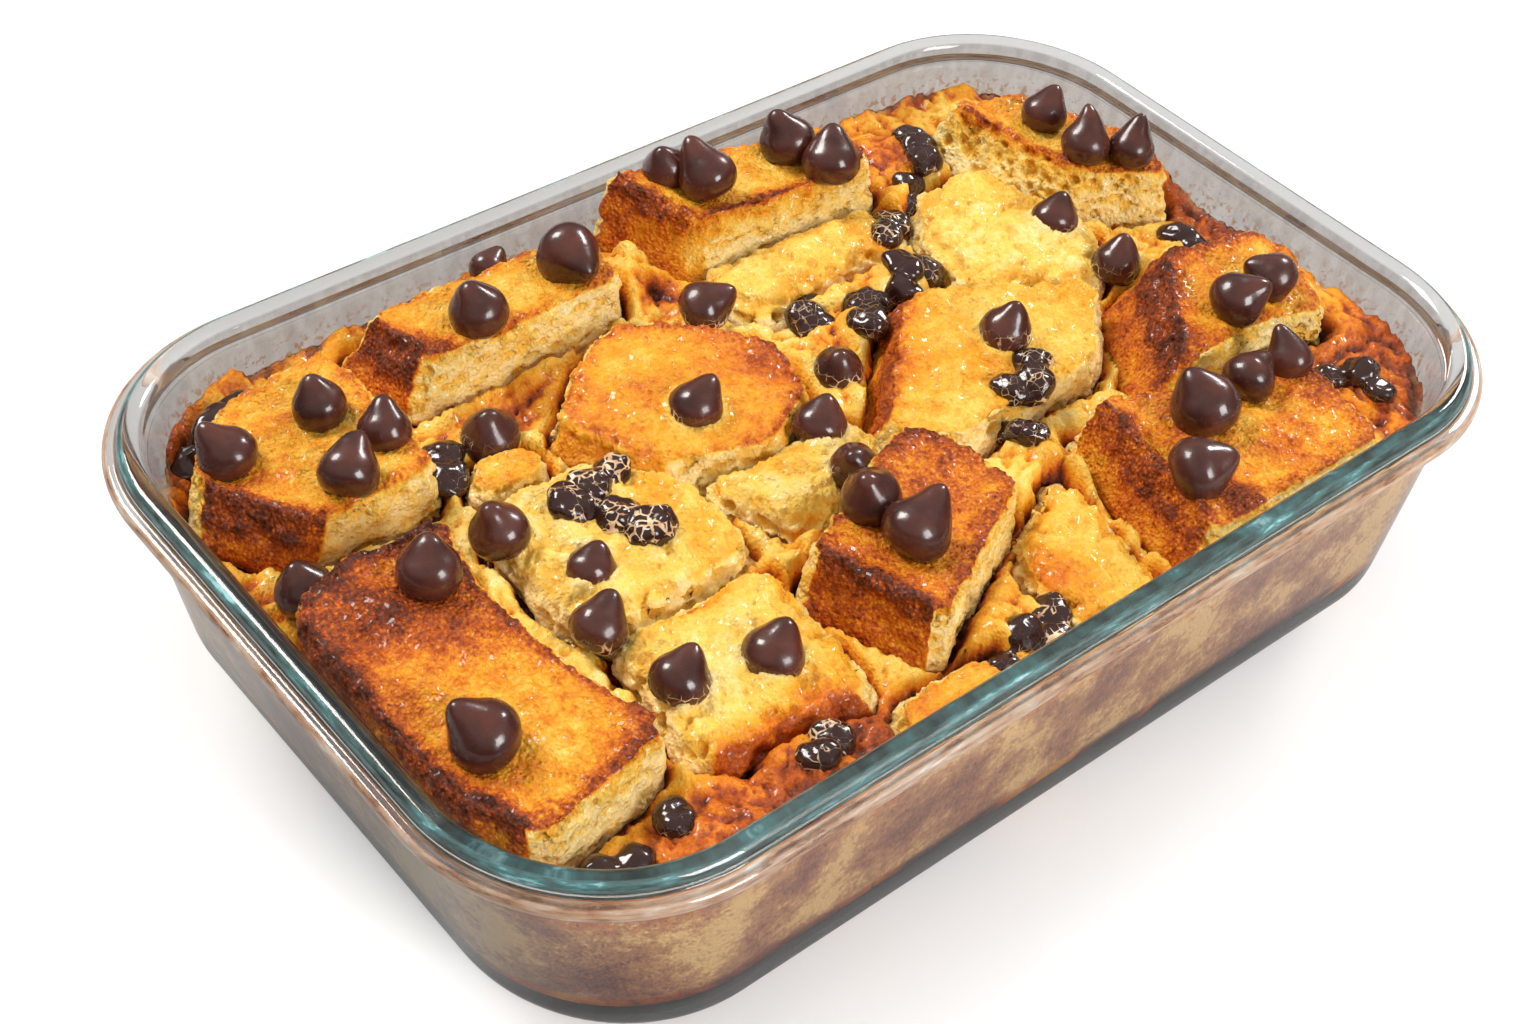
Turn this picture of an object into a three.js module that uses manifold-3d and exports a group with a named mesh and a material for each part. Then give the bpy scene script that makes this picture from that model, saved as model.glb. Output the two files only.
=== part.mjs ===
// Baked bread pudding with chocolate drops, in the rounded rectangular glass dish it was baked in.
// Millimetres. +X runs along the dish, +Y across it, +Z up. The origin is under the middle of the base.
import * as THREE from "three";
import { mergeVertices } from "three/addons/utils/BufferGeometryUtils.js";
import Module from "manifold-3d";

const wasm = await Module();
wasm.setup();

// The dish's outer wall is a rounded rectangle that widens with height.
const BASE_HALF_LENGTH = 94;
const BASE_HALF_WIDTH = 63.5;
const BASE_CORNER = 28.4;
const LENGTH_FLARE = 0.194;
const WIDTH_FLARE = 0.056;
const CORNER_FLARE = 0.06;
const CORNER_STEPS = 5;

const DISH_HEIGHT = 44;
const WALL = 4.3;
const LIP_INNER = 3.3;
const LIP_OUTER = 0.8;
const FLANGE_REACH = 3.4;
const FLANGE_BOTTOM = 38.5;
const FLANGE_TOP = 41.5;
const FLANGE_FILLET = 1.5;
const LIP_DEPTH = 10;
const FOOT_RADIUS = 6;
const FLOOR = 5;
const FLOOR_FILLET = 7;

// The pudding.
const GAP = 0.3;
const FILL_LEVEL = 33;
const FILL_CROWN = 2;
const FILL_WAVE = 0.5;
const SURFACE_RINGS = [1, 0.9, 0.76, 0.6, 0.42, 0.2];
const SLAB_FOOT = 16;
const SLAB_EDGE = 2.2;
const SLAB_CORNER = 2.4;
const TALLEST = 60;

// Each slab of bread: the corners of its top, the height of the top at their middle, how the top rises
// per millimetre of X and Y, and how far each side leans out down to the custard, from the first corner on.
const SLABS = [
  {
    name: "bread_left_back",
    corners: [[-84, 18.5], [-62, 18.5], [-60, 54], [-84, 51], [-94, 37]],
    level: 41.4,
    slope: [0, -0.07],
    lean: [0.5, 1, 1.5, 1, 3.5],
    finish: "toasted",
  },
  {
    name: "bread_left_front",
    corners: [[-91, -48.5], [-65.5, -42.5], [-71.5, -8], [-68, 9], [-87, 9.5], [-97, 4], [-97, -34]],
    level: 42.6,
    slope: [0, 0.015],
    lean: [1, 0.5, 0.5, 1, 0, 0, 0],
    finish: "toasted",
  },
  {
    name: "bread_back_left",
    corners: [[-50.5, 39], [-11, 39.5], [-9, 55.5], [-52, 56.5]],
    level: 42.4,
    slope: [0, -0.05],
    lean: [1.5, 1, 0.5, 4.8],
    finish: "toasted",
  },
  {
    name: "bread_back_mid",
    corners: [[6.5, 42], [46.5, 41], [47, 56], [-1, 60.5]],
    level: 44,
    slope: [-0.07, 0.03],
    lean: [2.5, 1, 0.5, 3],
    finish: "toasted",
  },
  {
    name: "bread_right_back",
    corners: [[75, 17], [91, 8.5], [94.5, 24], [84, 44], [68.5, 46], [72, 28]],
    level: 42.6,
    slope: [-0.07, 0],
    lean: [3, 0.5, 0.5, 1, 5.5, 5.5],
    finish: "toasted",
  },
  {
    name: "bread_right",
    corners: [[50, -32], [72, -30.5], [86, -35], [92, -13], [68.5, -8.5]],
    level: 42.6,
    slope: [-0.06, 0.05],
    lean: [0.5, 1, 0.5, 2, 8.5],
    finish: "toasted",
  },
  {
    name: "bread_front_right",
    corners: [[25.5, -62], [67, -62], [71, -42], [45, -34], [31, -28.5]],
    level: 42.6,
    slope: [-0.03, 0.03],
    lean: [0, 1, 0.5, 1, 4],
    finish: "toasted",
  },
  {
    name: "bread_front_mid",
    corners: [[-21, -51], [10.5, -34.5], [5, -14], [-29.5, -28.5]],
    level: 43,
    slope: [-0.04, 0.02],
    lean: [0.5, 1, 1, 2],
    finish: "toasted",
  },
  {
    name: "bread_centre_left",
    corners: [[-33, 3], [-14, -4], [0, 3], [1, 16], [-9, 28], [-20, 35], [-39, 21]],
    level: 39.6,
    slope: [0.02, 0.03],
    lean: [1.5, 1, 1, 1, 1.5, 1.5, 3],
    finish: "golden",
  },
  {
    name: "bread_centre_right",
    corners: [[10, -20], [44, -19], [58, -5], [27, 11], [2, -12]],
    level: 40,
    slope: [0, 0.06],
    lean: [1, 1.5, 1, 4, 1],
    finish: "golden",
  },
  {
    name: "bread_centre_low",
    corners: [[-28, -3], [-21, -20], [3, -12], [1, -5], [-14, -5]],
    level: 37.4,
    slope: [0, 0],
    lean: [1, 1, 1, 0.5, 0.5],
    finish: "soaked",
  },
  {
    name: "bread_left_mid",
    corners: [[-61, -19], [-30, -18], [-30, 0], [-38, 9], [-52, 12], [-61, 8]],
    level: 38,
    slope: [0.02, 0.02],
    lean: [1, 1, 1, 1, 1, 1],
    finish: "soaked",
  },
  {
    name: "bread_left_low",
    corners: [[-62, -46], [-34, -50], [-32, -31], [-33, -22], [-59, -23]],
    level: 37.4,
    slope: [0, 0.03],
    lean: [1.5, 1, 0.5, 1, 1],
    finish: "soaked",
  },
  {
    name: "bread_front_scrap",
    corners: [[-37, -62], [-16, -62], [-17, -54], [-34, -54]],
    level: 36.2,
    slope: [0.02, 0.05],
    lean: [0, 1, 1, 1],
    finish: "golden",
  },
  {
    name: "bread_front_soaked",
    corners: [[1, -62], [16, -62], [19, -44], [20, -33], [11, -38], [1, -46]],
    level: 36.6,
    slope: [0.03, 0.02],
    lean: [0, 1, 1, 1, 1, 1],
    finish: "soaked",
  },
  {
    name: "bread_right_soaked",
    corners: [[42, 9], [61, -2], [71, 6], [71, 15], [65, 34], [51, 34], [42, 20]],
    level: 37.6,
    slope: [0.03, 0.03],
    lean: [1, 1, 1, 1, 1, 1.5, 1.5],
    finish: "soaked",
  },
  {
    name: "bread_back_soaked",
    corners: [[5, 24], [24, 26], [43, 27], [44, 37], [4, 38]],
    level: 36.6,
    slope: [0, 0.06],
    lean: [1.5, 1.5, 1, 0, 1],
    finish: "soaked",
  },
  {
    name: "bread_left_scrap",
    corners: [[-58, 15], [-46, 12], [-44, 20], [-55, 23]],
    level: 37,
    slope: [0.02, -0.03],
    lean: [1, 1.5, 1, 1],
    finish: "golden",
  },
];

// Each chocolate drop: what it sits on, X and Y of its round body, how much higher or lower than a plain
// seat it lies, its diameter, the compass heading and the tilt of its tip in degrees, and the tip's reach.
const DROPS = [
  ["bread_left_back", -87, 38, 0, 9.3, 130, 45, 0.68],
  ["bread_left_back", -70, 40, 0, 9, 125, 15, 0.6],
  ["bread_left_back", -75, 23, 0, 9.5, 40, 50, 0.68],
  ["bread_left_back", -65, 29, 0, 8.5, 60, 35, 0.64],
  ["custard", -48, 26, 0, 9.5, 170, 10, 0.58],
  ["custard", -90, 12.4, 2.2, 9, 140, 15, 0.58],
  ["bread_left_front", -77, -1, 0, 10, 60, 20, 0.58],
  ["bread_left_mid", -61.5, 4, 0.3, 9.5, 140, 20, 0.6],
  ["bread_left_front", -88, -31, 0, 10.4, 135, 40, 0.68],
  ["bread_back_left", -38, 43.5, 0, 10, 140, 20, 0.6],
  ["bread_back_left", -17, 47, 0, 11, -95, 75, 0.68],
  ["custard", -26, 57, 4.5, 7, 20, 60, 0.64],
  ["bread_back_mid", 14, 49, 0, 10.3, 100, 45, 0.8],
  ["bread_back_mid", 10, 56, 0, 8, 170, 20, 0.6],
  ["bread_back_mid", 34, 51.5, 0, 10, 130, 25, 0.64],
  ["bread_back_mid", 37, 42.5, 0, 10.5, 60, 30, 0.64],
  ["custard", -1.5, 30, 1.5, 9.5, -30, 60, 0.64],
  ["custard", 7, 5, 0.5, 8.5, -120, 15, 0.58],
  ["bread_centre_left", -20, 9, -1.4, 9, 10, 40, 0.68],
  ["bread_centre_low", -5, -4, -1.2, 9, 20, 30, 0.6],
  ["bread_centre_right", 33, -7, 0, 9, -20, 20, 0.64],
  ["bread_right_soaked", 65, 13, -0.6, 9, 20, 25, 0.6],
  ["custard", 67, -1, 1.5, 9, 20, 25, 0.64],
  ["bread_right_back", 81, 33, 0, 8.5, 15, 25, 0.68],
  ["bread_right_back", 79, 20.5, 0, 9, 30, 25, 0.95],
  ["bread_right_back", 86, 15.5, 0, 8.5, 25, 22, 0.9],
  ["bread_right", 68.5, -26, 0, 10, -35, 50, 0.64],
  ["bread_right", 79.5, -25, 0, 9, 130, 65, 0.64],
  ["bread_front_right", 66, -40.5, -0.4, 8, 85, 35, 0.75],
  ["bread_front_right", 56, -40.5, 0, 9, 10, 60, 0.6],
  ["bread_front_right", 43, -42, 0, 11.5, 110, 35, 0.6],
  ["bread_front_right", 31, -51.5, 0, 10.5, -30, 65, 0.64],
  ["bread_front_mid", -15, -26.5, 0, 9.5, 175, 20, 0.6],
  ["bread_front_mid", -14.5, -36, 0, 10.5, 5, 50, 0.8],
  ["bread_centre_low", -8, -16, 0.6, 8, -140, 20, 0.6],
  ["bread_left_low", -57, -34, -1, 9, 10, 35, 0.64],
  ["bread_left_low", -43, -38, -1, 9.5, 20, 40, 0.64],
  ["bread_left_mid", -60, -19, -1.2, 9, 20, 50, 0.64],
  ["bread_left_mid", -54, -9, -1.3, 8, 30, 40, 0.6],
];
const DROP_SIDES = 7;
const DROP_BITE = 1.2;
const DROP_HALF = 0.42;

const MATERIALS = {
  glass: new THREE.MeshStandardMaterial({ color: 0xb9c7c3, roughness: 0.05, metalness: 0 }),
  custard: new THREE.MeshStandardMaterial({ color: 0xe3b04a, roughness: 0.45, metalness: 0 }),
  toasted: new THREE.MeshStandardMaterial({ color: 0xc4701f, roughness: 0.6, metalness: 0 }),
  golden: new THREE.MeshStandardMaterial({ color: 0xe0a23a, roughness: 0.55, metalness: 0 }),
  soaked: new THREE.MeshStandardMaterial({ color: 0xefd37a, roughness: 0.4, metalness: 0 }),
  chocolate: new THREE.MeshStandardMaterial({ color: 0x2a1512, roughness: 0.3, metalness: 0 }),
};

// The rounded rectangle of the outer wall at height z, moved outwards by outset and scaled by share.
function wallRing(z, outset, share = 1) {
  const corner = (BASE_CORNER + CORNER_FLARE * z + outset) * share;
  const coreX = (BASE_HALF_LENGTH + LENGTH_FLARE * z + outset) * share - corner;
  const coreY = (BASE_HALF_WIDTH + WIDTH_FLARE * z + outset) * share - corner;
  const ring = [];
  for (let quarter = 0; quarter < 4; quarter++) {
    const sideX = quarter === 0 || quarter === 3 ? 1 : -1;
    const sideY = quarter < 2 ? 1 : -1;
    for (let step = 0; step <= CORNER_STEPS; step++) {
      const angle = ((quarter + step / CORNER_STEPS) * Math.PI) / 2;
      const x = sideX * coreX + corner * Math.cos(angle);
      const y = sideY * coreY + corner * Math.sin(angle);
      ring.push(new THREE.Vector3(x, y, z));
    }
  }
  return ring;
}

// A closed geometry through rings with the same number of points, with flat ends.
function loft(rings) {
  const count = rings[0].length;
  const index = [];
  for (let row = 0; row + 1 < rings.length; row++) {
    for (let i = 0; i < count; i++) {
      const a = row * count + i;
      const b = row * count + ((i + 1) % count);
      index.push(a, b, b + count, a, b + count, a + count);
    }
  }
  const flat = (ring) => ring.map((p) => new THREE.Vector2(p.x, p.y));
  const last = (rings.length - 1) * count;
  for (const [a, b, c] of THREE.ShapeUtils.triangulateShape(flat(rings[0]), [])) {
    index.push(c, b, a);
  }
  for (const [a, b, c] of THREE.ShapeUtils.triangulateShape(flat(rings.at(-1)), [])) {
    index.push(last + a, last + b, last + c);
  }
  const geometry = new THREE.BufferGeometry().setFromPoints(rings.flat());
  geometry.setIndex(index);
  return geometry;
}

// A closed geometry as a solid that can be cut.
function solid(geometry) {
  const bare = geometry.clone();
  bare.deleteAttribute("normal");
  bare.deleteAttribute("uv");
  const merged = mergeVertices(bare, 1e-4);
  return new wasm.Manifold(
    new wasm.Mesh({
      numProp: 3,
      vertProperties: new Float32Array(merged.attributes.position.array),
      triVerts: new Uint32Array(merged.index.array),
    }),
  );
}

// The largest body that is left of a solid after its cuts.
function largest(cut) {
  const bodies = cut.decompose();
  return bodies.reduce((best, body) => (body.volume() > best.volume() ? body : best));
}

// A named mesh of a solid, drawn about its own middle and placed by its position.
function asMesh(name, made, material, middle = new THREE.Vector3()) {
  const { vertProperties, triVerts } = made.getMesh();
  const geometry = new THREE.BufferGeometry();
  geometry.setAttribute("position", new THREE.BufferAttribute(vertProperties.slice(), 3));
  geometry.setIndex(new THREE.BufferAttribute(triVerts.slice(), 1));
  geometry.translate(-middle.x, -middle.y, -middle.z);
  geometry.computeVertexNormals();
  const mesh = new THREE.Mesh(geometry, material);
  mesh.name = name;
  mesh.position.copy(middle);
  return mesh;
}

// Rings that follow a quarter circle, from the angle at its start to the angle at its end.
function quarterRings(middleZ, middleOutset, radius, from, to, steps) {
  const rings = [];
  for (let step = 0; step <= steps; step++) {
    const angle = THREE.MathUtils.degToRad(from + ((to - from) * step) / steps);
    const z = middleZ + radius * Math.sin(angle);
    rings.push(wallRing(z, middleOutset + radius * Math.cos(angle)));
  }
  return rings;
}

// The dish: foot, flared wall, flange and raised lip outside, then down the inner wall to the floor.
function dishGeometry() {
  const edge = (FLANGE_TOP - FLANGE_BOTTOM) / 2;
  const flangeMiddle = FLANGE_BOTTOM + edge;
  const lip = (LIP_OUTER + LIP_INNER) / 2;
  return loft([
    ...quarterRings(FOOT_RADIUS, -FOOT_RADIUS, FOOT_RADIUS, -90, 0, 3),
    wallRing(FLANGE_BOTTOM - FLANGE_FILLET, 0),
    ...quarterRings(flangeMiddle, FLANGE_REACH - edge, edge, -90, 90, 4),
    wallRing(FLANGE_TOP, LIP_OUTER),
    ...quarterRings(DISH_HEIGHT - lip, LIP_OUTER - lip, lip, 0, 180, 4),
    wallRing(DISH_HEIGHT - LIP_DEPTH, -WALL),
    ...quarterRings(FLOOR + FLOOR_FILLET, -WALL - FLOOR_FILLET, FLOOR_FILLET, 0, -90, 3),
  ]);
}

// The custard's surface: level at the glass, higher towards the middle, a little wavy.
function custardHeight(x, y) {
  const across = (x / BASE_HALF_LENGTH) ** 2;
  const along = (y / BASE_HALF_WIDTH) ** 2;
  const crown = FILL_CROWN * Math.max(0, 1 - across) * Math.max(0, 1 - along);
  return FILL_LEVEL + crown + FILL_WAVE * Math.sin(0.11 * x + 1) * Math.cos(0.13 * y);
}

// The custard body as one block from the dish's floor up to its surface, larger all over by grow.
function custardGeometry(grow) {
  const clear = GAP - grow;
  const bottom = FLOOR + FLOOR_FILLET + clear;
  const rings = quarterRings(bottom, -WALL - FLOOR_FILLET - clear, FLOOR_FILLET, -90, 0, 3);
  for (const share of SURFACE_RINGS) {
    const ring = wallRing(FILL_LEVEL, -WALL - clear, share);
    ring.forEach((p) => (p.z = custardHeight(p.x, p.y) + grow));
    rings.push(ring);
  }
  return loft(rings);
}

// The room inside the glass that food can fill, and the air above it.
function roomGeometry() {
  return loft([wallRing(FLOOR + GAP, -WALL - GAP), wallRing(TALLEST, -WALL - GAP)]);
}

// The height of a slab's top at x, y.
function topHeight(slab, x, y) {
  const count = slab.corners.length;
  const middleX = slab.corners.reduce((sum, c) => sum + c[0], 0) / count;
  const middleY = slab.corners.reduce((sum, c) => sum + c[1], 0) / count;
  return slab.level + slab.slope[0] * (x - middleX) + slab.slope[1] * (y - middleY);
}

// The corners with each side moved outwards by its own distance.
function movedSides(corners, distances) {
  const count = corners.length;
  const lines = corners.map(([x, y], i) => {
    const [nextX, nextY] = corners[(i + 1) % count];
    const length = Math.hypot(nextX - x, nextY - y);
    const normal = [(nextY - y) / length, -(nextX - x) / length];
    return { normal, reach: normal[0] * x + normal[1] * y + distances[i] };
  });
  return corners.map((corner, i) => {
    const a = lines[(i + count - 1) % count];
    const b = lines[i];
    const turn = a.normal[0] * b.normal[1] - a.normal[1] * b.normal[0];
    return new THREE.Vector2(
      (a.reach * b.normal[1] - b.reach * a.normal[1]) / turn,
      (b.reach * a.normal[0] - a.reach * b.normal[0]) / turn,
    );
  });
}

// An outline whose corners are cut off.
function chamfered(corners, size) {
  return corners.flatMap((corner, i) => {
    const before = corners.at(i - 1).clone().sub(corner);
    const after = corners[(i + 1) % corners.length].clone().sub(corner);
    const cut = Math.min(size, before.length() / 3, after.length() / 3);
    return [corner.clone().add(before.setLength(cut)), corner.clone().add(after.setLength(cut))];
  });
}

// A slab of bread with rounded edges that stands in the custard, larger all over by grow.
function slabGeometry(slab, grow) {
  const ring = (leanShare, outset, height) => {
    const distances = slab.lean.map((lean) => lean * leanShare + outset + grow);
    return chamfered(movedSides(slab.corners, distances), SLAB_CORNER).map(
      (p) => new THREE.Vector3(p.x, p.y, height(p)),
    );
  };
  const below = (drop) => (p) => topHeight(slab, p.x, p.y) - drop + grow;
  return loft([
    ring(1, 0, () => SLAB_FOOT - grow),
    ring(1, 0, () => FILL_LEVEL - 1),
    ring(0.1, 0, below(SLAB_EDGE)),
    ring(0, -0.25 * SLAB_EDGE, below(0.3 * SLAB_EDGE)),
    ring(0, -SLAB_EDGE, below(0)),
  ]);
}

// A chocolate drop about its body's middle: a round base that draws in to a blunt tip.
function dropGeometry(diameter, reach, grow) {
  const outline = [
    [0, -DROP_HALF],
    [0.36, -0.34],
    [0.5, -0.04],
    [0.43, 0.24],
    [0.2, 0.82 * reach],
    [0, reach],
  ].map(([radius, z]) => new THREE.Vector2(radius * diameter, z * diameter));
  outline.slice(1, -1).forEach((p) => (p.x += grow));
  outline[0].y -= grow;
  outline.at(-1).y += grow;
  return new THREE.LatheGeometry(outline, DROP_SIDES).rotateX(Math.PI / 2);
}

// The height of what a drop sits on.
function seatHeight(on, x, y) {
  return on === "custard" ? custardHeight(x, y) : topHeight(SLABS.find((s) => s.name === on), x, y);
}

const pudding = new THREE.Group();
pudding.add(asMesh("dish", solid(dishGeometry()), MATERIALS.glass));

const food = new THREE.Group();
pudding.add(food);
const room = solid(roomGeometry());
let custard = solid(custardGeometry(0));
const blocks = [solid(custardGeometry(GAP))];
for (const slab of SLABS) {
  let bread = solid(slabGeometry(slab, 0)).intersect(room);
  for (const earlier of blocks.slice(1)) bread = bread.subtract(earlier);
  const block = solid(slabGeometry(slab, GAP));
  custard = custard.subtract(block);
  blocks.push(block);
  food.add(asMesh(slab.name, largest(bread), MATERIALS[slab.finish]));
}
food.add(asMesh("custard", largest(custard), MATERIALS.custard));

const UP = new THREE.Vector3(0, 0, 1);
const Z_UP = new THREE.Matrix4().makeRotationX(Math.PI / 2);
DROPS.forEach(([on, x, y, lift, diameter, heading, tilt, reach], i) => {
  const z = seatHeight(on, x, y) + lift + DROP_HALF * diameter - DROP_BITE;
  const middle = new THREE.Vector3(x, y, z);
  const turn = THREE.MathUtils.degToRad(heading);
  const lie = THREE.MathUtils.degToRad(tilt);
  const aim = new THREE.Vector3().setFromSphericalCoords(1, lie, turn + Math.PI / 2).applyMatrix4(Z_UP);
  const place = new THREE.Matrix4()
    .makeRotationFromQuaternion(new THREE.Quaternion().setFromUnitVectors(UP, aim))
    .setPosition(middle);
  let drop = solid(dropGeometry(diameter, reach, 0).applyMatrix4(place)).intersect(room);
  for (const block of blocks) drop = drop.subtract(block);
  blocks.push(solid(dropGeometry(diameter, reach, GAP).applyMatrix4(place)));
  food.add(asMesh(`drop_${String(i + 1).padStart(2, "0")}`, largest(drop), MATERIALS.chocolate, middle));
});

export default pudding;
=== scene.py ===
"""A baked bread pudding with chocolate drops in its glass dish: the looks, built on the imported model."""

import math
import random

import bmesh
import bpy
import numpy as np
from mathutils import Matrix, Vector
from mathutils.bvhtree import BVHTree
from mathutils.kdtree import KDTree


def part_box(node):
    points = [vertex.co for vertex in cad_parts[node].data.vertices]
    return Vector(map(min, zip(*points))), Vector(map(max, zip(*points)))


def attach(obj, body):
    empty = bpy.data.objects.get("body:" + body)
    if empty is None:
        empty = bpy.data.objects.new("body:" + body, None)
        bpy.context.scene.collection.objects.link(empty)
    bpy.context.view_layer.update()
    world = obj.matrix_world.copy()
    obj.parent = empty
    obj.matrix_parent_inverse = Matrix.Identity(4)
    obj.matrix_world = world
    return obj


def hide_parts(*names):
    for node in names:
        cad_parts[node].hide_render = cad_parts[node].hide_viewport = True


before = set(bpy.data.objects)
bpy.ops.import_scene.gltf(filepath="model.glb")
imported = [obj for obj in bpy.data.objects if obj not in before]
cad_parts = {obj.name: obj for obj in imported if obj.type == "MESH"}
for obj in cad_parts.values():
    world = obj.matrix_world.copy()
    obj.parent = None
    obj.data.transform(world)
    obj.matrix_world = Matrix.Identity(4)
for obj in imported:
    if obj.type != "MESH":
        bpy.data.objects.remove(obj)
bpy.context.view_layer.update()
MM = 0.001

# The dish, in millimetres: its outer wall is a rounded rectangle that widens with height.
BASE_HALF_LENGTH, BASE_HALF_WIDTH, BASE_CORNER = 94, 63.5, 28.4
LENGTH_FLARE, WIDTH_FLARE, CORNER_FLARE = 0.194, 0.056, 0.06
DISH_HEIGHT = 44
WALL = 4.3
LIP_INNER, LIP_OUTER, LIP_DEPTH = 3.3, 0.8, 10
FLANGE_REACH, FLANGE_BOTTOM, FLANGE_TOP, FLANGE_FILLET = 3.4, 38.5, 41.5, 1.5
FOOT_RADIUS, FLOOR, FLOOR_FILLET = 6, 5, 7
TUBE_STEPS = 24
CORNER_STEPS = 24
FILM_FOOT, FILM_FULL = 30, 34

# The custard, in millimetres.
FILL_LEVEL, FILL_CROWN, FILL_WAVE = 33, 2, 0.5
GLASS_BITE = 0.35
CUSTARD_CELL = 0.62
LUMPS = 260
TUCK, TUCK_WIDTH = 2.8, 1.4
WALL_RISE, WALL_RISE_WIDTH = 1.4, 1.6
UNDER_SLICE, INTO_DROP = 1.6, 2.6

# The bread, in millimetres.
SLICE_FOOT = 29.5
SLICE_VOXEL = 0.42
RIM_WIDTH = 2.2
RIDGE_WIDTH = 1.5
SHOULDER, SHOULDER_WIDTH, SHOULDER_DIP = 5, 3, 0.5
PORE_EVERY = 42
PORE_SMALLEST, PORE_SPREAD, PORE_DEPTH = 0.55, 1.0, 1.1
SWELL = 0.9
COLLAR_HEIGHT, COLLAR_WIDTH, COLLAR_REACH = 0.6, 1.1, 3
HEADING_SPREAD = 48
DARKEST = 0.84


# ---------------------------------------------------------------- small tools

def pick(*pieces):
    """Selects these pieces and nothing else."""
    bpy.ops.object.select_all(action="DESELECT")
    for piece in pieces:
        piece.select_set(True)
    if pieces:
        bpy.context.view_layer.objects.active = pieces[0]


def points_of(piece):
    """The piece's vertices in millimetres."""
    flat = np.empty(len(piece.data.vertices) * 3)
    piece.data.vertices.foreach_get("co", flat)
    return flat.reshape(-1, 3) / MM


def spread(across, width):
    """A bell curve: 1 where across is nought, and next to nothing past twice the width."""
    return np.exp(-(across / width) ** 2)


def move_points(piece, points):
    piece.data.vertices.foreach_set("co", (points * MM).ravel())
    piece.data.update()


def normals_of(piece):
    flat = np.empty(len(piece.data.vertices) * 3)
    piece.data.vertex_normals.foreach_get("vector", flat)
    return flat.reshape(-1, 3)


def paint(piece, name, values):
    """Stores a value for each vertex, which the piece's finish reads."""
    layer = piece.data.attributes.new(name, "FLOAT", "POINT")
    layer.data.foreach_set("value", np.clip(values, 0, 1).astype(np.float32))


def weigh(piece, name, weights, levels=12):
    """Makes a vertex group from an array of weights."""
    group = piece.vertex_groups.new(name=name)
    steps = np.round(np.clip(weights, 0, 1) * levels).astype(int)
    for step in range(1, levels + 1):
        group.add(np.flatnonzero(steps == step).tolist(), step / levels, "REPLACE")
    return name


def smoothstep(low, high, value):
    share = np.clip((value - low) / (high - low), 0, 1)
    return share * share * (3 - 2 * share)


def mixed(a, b, share):
    return a + (b - a) * share


def apply(piece, modifier):
    pick(piece)
    bpy.ops.object.modifier_apply(modifier=modifier.name)


def remeshed(piece, voxel):
    skin = piece.modifiers.new("even", "REMESH")
    skin.mode = "VOXEL"
    skin.voxel_size = voxel * MM
    skin.use_smooth_shade = True
    apply(piece, skin)


def smoothed(piece, turns, factor=0.5):
    soft = piece.modifiers.new("soft", "SMOOTH")
    soft.factor = factor
    soft.iterations = turns
    apply(piece, soft)


def relief(piece, size, depth, group="", kind="CLOUDS", middle=0.5, rise="NORMAL", detail=1, hole=0.0):
    """Raises and sinks the surface by a texture of this size and depth in millimetres."""
    texture = bpy.data.textures.new(f"{piece.name} {kind}", kind)
    texture.noise_scale = size * MM
    if kind == "CLOUDS":
        texture.noise_depth = detail
    if kind == "MUSGRAVE":
        texture.musgrave_type = "RIDGED_MULTIFRACTAL"
        texture.octaves = detail
        texture.noise_intensity = 0.6
    if hole:
        texture.use_color_ramp = True
        ramp = texture.color_ramp
        ramp.elements[0].position, ramp.elements[0].color = hole * 0.5, (0, 0, 0, 1)
        ramp.elements[1].position, ramp.elements[1].color = hole, (1, 1, 1, 1)
    shape = piece.modifiers.new("relief", "DISPLACE")
    shape.texture = texture
    shape.texture_coords = "LOCAL"
    shape.strength = depth * MM
    shape.mid_level = middle
    shape.direction = rise
    shape.vertex_group = group
    apply(piece, shape)
    bpy.data.textures.remove(texture)


def copied(node_name, name):
    """A closed copy of a CAD node."""
    piece = bpy.data.objects.new(name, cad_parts[node_name].data.copy())
    bpy.context.scene.collection.objects.link(piece)
    piece.data.materials.clear()
    pick(piece)
    bpy.ops.object.mode_set(mode="EDIT")
    bpy.ops.mesh.select_all(action="SELECT")
    bpy.ops.mesh.remove_doubles(threshold=0.01 * MM)
    bpy.ops.object.mode_set(mode="OBJECT")
    return piece


def finish_piece(piece, finish, slot, *nodes):
    piece.data.materials.clear()
    piece.data.materials.append(finish)
    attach(piece, "root")
    if nodes:
        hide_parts(*nodes)


# ---------------------------------------------------------------- outlines of the dish

def wall_size(z, outset):
    """Half length, half width and corner radius of the wall's outline at height z."""
    return (
        BASE_HALF_LENGTH + LENGTH_FLARE * z + outset,
        BASE_HALF_WIDTH + WIDTH_FLARE * z + outset,
        BASE_CORNER + CORNER_FLARE * z + outset,
    )


def wall_ring(z, outset):
    half_x, half_y, corner = wall_size(z, outset)
    ring = []
    for quarter in range(4):
        side_x = 1 if quarter in (0, 3) else -1
        side_y = 1 if quarter < 2 else -1
        for step in range(CORNER_STEPS + 1):
            angle = (quarter + step / CORNER_STEPS) * math.pi / 2
            x = side_x * (half_x - corner) + corner * math.cos(angle)
            y = side_y * (half_y - corner) + corner * math.sin(angle)
            ring.append((x, y, z))
    return ring


def arc_rings(middle_z, middle_outset, radius, start, end, steps):
    rings = []
    for step in range(steps + 1):
        angle = math.radians(start + (end - start) * step / steps)
        z = middle_z + radius * math.sin(angle)
        rings.append(wall_ring(z, middle_outset + radius * math.cos(angle)))
    return rings


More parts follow.
